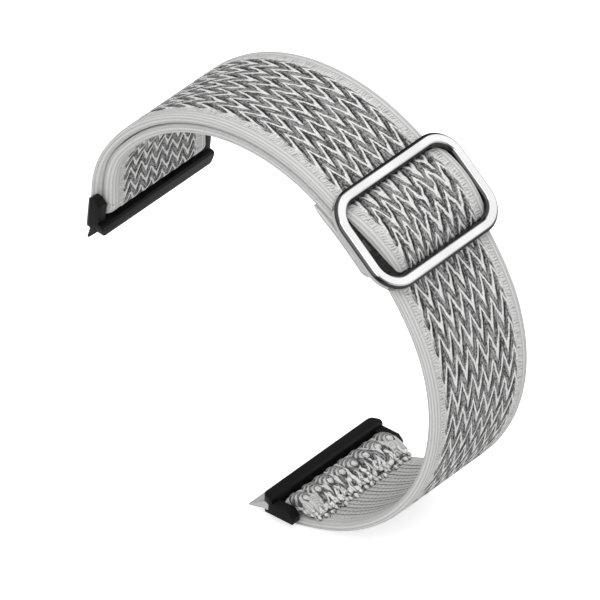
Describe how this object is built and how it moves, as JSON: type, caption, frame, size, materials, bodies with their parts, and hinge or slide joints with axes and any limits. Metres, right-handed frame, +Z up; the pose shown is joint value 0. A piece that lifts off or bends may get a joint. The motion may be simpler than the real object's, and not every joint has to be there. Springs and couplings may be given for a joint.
{
  "type": "watch strap",
  "caption": "Adjustable elastic watch strap of braided nylon webbing with a steel slider and two swivelling connectors that hook into a watch case.",
  "frame": {"origin": "on the surface the strap stands on, under the middle of its outline seen from the side", "axes": "+Z up, +Y across the webbing along the pins, +X toward the side of the ring away from the watch gap"},
  "size_m": [0.066, 0.0274, 0.0664],
  "materials": {
    "webbing": "dark and light grey melange yarn, zigzag braid",
    "webbing_edge": "plain light grey selvage",
    "thread": "light grey sewing thread",
    "polished_steel": "polished",
    "plain_steel": "satin",
    "black_metal": "gloss black"
  },
  "bodies": {
    "strap": {"outer_run": "webbing", "outer_edge_near": "webbing_edge", "outer_edge_far": "webbing_edge", "return_run": "webbing", "return_edge_near": "webbing_edge", "return_edge_far": "webbing_edge", "fold_upper": "webbing", "fold_lower": "webbing", "tab_lower": "webbing", "seam_lower_a": "thread", "seam_lower_b": "thread"},
    "slider": {"hump": "webbing", "loop": "webbing", "seam_loop": "thread", "slider_frame": "polished_steel", "slider_bar": "plain_steel"},
    "connector_upper": {"connector_upper": "black_metal", "tongue_upper": "plain_steel", "pin_upper": "plain_steel"},
    "connector_lower": {"connector_lower": "black_metal", "tongue_lower": "plain_steel", "pin_lower": "plain_steel"}
  },
  "joints": [
    {"name": "slider_travel", "type": "hinge", "parent": "strap", "child": "slider", "pos_m": [-0.00919, 0, 0.02344], "axis": [0, -1, 0], "range_deg": [-9, 8.5]},
    {"name": "swivel_upper", "type": "hinge", "parent": "strap", "child": "connector_upper", "pos_m": [-0.03078, 0, 0.04162], "axis": [0, 1, 0], "range_deg": [-25, 25]},
    {"name": "swivel_lower", "type": "hinge", "parent": "strap", "child": "connector_lower", "pos_m": [0.00633, 0, 0.00225], "axis": [0, 1, 0], "range_deg": [-15, 25]}
  ]
}
